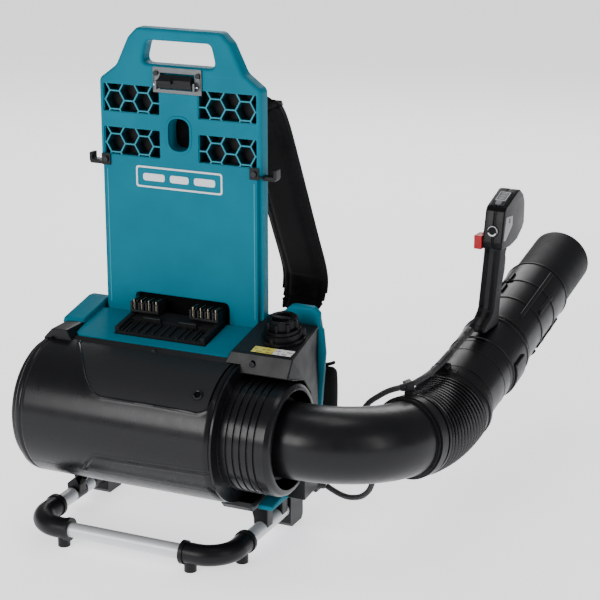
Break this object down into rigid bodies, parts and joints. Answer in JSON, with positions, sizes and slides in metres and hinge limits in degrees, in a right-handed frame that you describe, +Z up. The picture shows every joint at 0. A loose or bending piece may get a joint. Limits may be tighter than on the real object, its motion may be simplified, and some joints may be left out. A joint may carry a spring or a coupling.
{
  "type": "backpack leaf blower",
  "caption": "Backpack leaf blower on a tube stand: carry tower with harness, round blower drum, elbow, ribbed hose and sliding nozzle pipe with an upright control handle.",
  "frame": {"origin": "on the floor, midway between the side tubes of the stand, under the axis of its front tube", "axes": "+Z up, +X towards the outlet and hose, +Y from the front tube towards the wearer's back"},
  "size_m": [0.551, 0.6418, 0.6],
  "materials": {
    "teal_moulding": "satin",
    "black_moulding": "satin",
    "dark_moulding": "satin",
    "hose_plastic": "gloss",
    "tube_metal": "satin",
    "latch_steel": "brushed",
    "motor_steel": "matte",
    "winding_copper": "matte",
    "terminal_brass": "polished",
    "heatsink_alloy": "matte",
    "screw_steel": "satin",
    "seal_rubber": "matte",
    "cable_jacket": "matte",
    "red_plastic": "gloss",
    "light_plastic": "gloss",
    "display_plastic": "gloss",
    "padded_fabric": "woven",
    "webbing": "woven"
  },
  "bodies": {
    "machine": {"stand_tube": "tube_metal", "stand_corner_covers": "black_moulding", "stand_saddles": "black_moulding", "rear_feet": "black_moulding", "backplate": "teal_moulding", "rear_cover": "black_moulding", "deck": "teal_moulding", "pack_seat": "black_moulding", "terminal_blocks": "black_moulding", "terminal_blades": "terminal_brass", "latch_plate": "latch_steel", "latch_pin": "latch_steel", "side_hooks": "black_moulding", "cover_screws": "screw_steel", "drum_upper_cover": "black_moulding", "drum_lower_cover": "black_moulding", "intake_ring": "black_moulding", "intake_grille": "black_moulding", "fan_duct": "dark_moulding", "motor_stator": "winding_copper", "motor_bearings": "latch_steel", "controller_box": "heatsink_alloy", "outlet_cover": "black_moulding", "connector_base": "black_moulding", "outlet_collar": "black_moulding", "outlet_socket": "black_moulding", "outlet_seal": "seal_rubber", "cable_gland": "black_moulding", "control_cable_loop": "cable_jacket", "back_pad": "padded_fabric", "hip_belt": "padded_fabric", "shoulder_strap_left": "padded_fabric", "shoulder_strap_right": "padded_fabric", "strap_webbing": "webbing", "strap_buckles": "black_moulding", "chest_strap": "webbing"},
    "fan": {"motor_rotor": "motor_steel", "fan_shaft": "latch_steel", "fan_impeller": "dark_moulding"},
    "latch": {"latch_lever": "black_moulding"},
    "cap": {"connector_cap": "dark_moulding"},
    "elbow": {"elbow_pipe": "dark_moulding", "hose_lower_cuff": "black_moulding", "flexible_hose": "hose_plastic", "control_cable_hose": "cable_jacket"},
    "hose_end": {"hose_upper_cuff": "black_moulding"},
    "wand": {"swivel_pipe": "black_moulding", "handle_clamp": "black_moulding", "handle_shell_left": "black_moulding", "handle_shell_right": "black_moulding", "trigger_pin": "latch_steel", "display_module": "display_plastic", "control_cable_wand": "cable_jacket"},
    "knob": {"clamp_knob": "dark_moulding"},
    "trigger": {"throttle_trigger": "dark_moulding"},
    "cruise": {"cruise_lever": "red_plastic"},
    "power": {"power_button": "light_plastic"},
    "mode": {"mode_button": "light_plastic"},
    "nozzle": {"nozzle_sleeve": "black_moulding", "nozzle_tip": "dark_moulding"}
  },
  "joints": [
    {"name": "fan_spin", "type": "hinge", "parent": "machine", "child": "fan", "pos_m": [-0.06, 0.072, 0.152], "axis": [1, 0, 0], "continuous": true},
    {"name": "latch_press", "type": "hinge", "parent": "machine", "child": "latch", "pos_m": [0, 0.145, 0.536], "axis": [1, 0, 0], "range_deg": [0, 22], "stiffness_Nm_per_rad": 0.05, "springref_deg": -11.46},
    {"name": "cap_turn", "type": "hinge", "parent": "machine", "child": "cap", "pos_m": [0.15, 0.118, 0.25728], "axis": [0, -0.1771, 0.9842], "range_deg": [0, 90]},
    {"name": "outlet_swivel", "type": "hinge", "parent": "machine", "child": "elbow", "pos_m": [0.15, 0.072, 0.152], "axis": [1, 0, 0], "range_deg": [-18, 45], "deforming": ["control_cable_loop"]},
    {"name": "hose_bend", "type": "hinge", "parent": "elbow", "child": "hose_end", "pos_m": [0.30549, 0.21175, 0.13731], "axis": [-0.0166, -0.2612, 0.9651], "range_deg": [-25, 25], "deforming": ["flexible_hose", "control_cable_hose"]},
    {"name": "pipe_swivel", "type": "hinge", "parent": "hose_end", "child": "wand", "pos_m": [0.30792, 0.24996, 0.1477], "axis": [0.0614, 0.9632, 0.2617], "range_deg": [-45, 45], "deforming": ["control_cable_wand"]},
    {"name": "clamp_knob_turn", "type": "hinge", "parent": "wand", "child": "knob", "pos_m": [0.27572, 0.37589, 0.13502], "axis": [0.7528, 0.1275, -0.6458], "continuous": true},
    {"name": "trigger_pull", "type": "hinge", "parent": "wand", "child": "trigger", "pos_m": [0.31756, 0.3777, 0.31401], "axis": [-0.998, 0.0636, 0], "range_deg": [0, 12], "stiffness_Nm_per_rad": 0.12, "springref_deg": -14.32},
    {"name": "cruise_turn", "type": "hinge", "parent": "wand", "child": "cruise", "pos_m": [0.31756, 0.3777, 0.33301], "axis": [-0.998, 0.0636, 0], "range_deg": [0, 55]},
    {"name": "power_press", "type": "slide", "parent": "wand", "child": "power", "axis": [0.062, 0.9724, 0.2249], "range_m": [0, 0.0018], "stiffness_N_per_m": 300, "springref_m": -0.001},
    {"name": "mode_press", "type": "slide", "parent": "wand", "child": "mode", "axis": [0.0234, 0.3674, -0.9298], "range_m": [0, 0.001], "stiffness_N_per_m": 300, "springref_m": -0.001},
    {"name": "nozzle_slide", "type": "slide", "parent": "wand", "child": "nozzle", "axis": [0.0614, 0.9632, 0.2617], "range_m": [0, 0.075]}
  ]
}
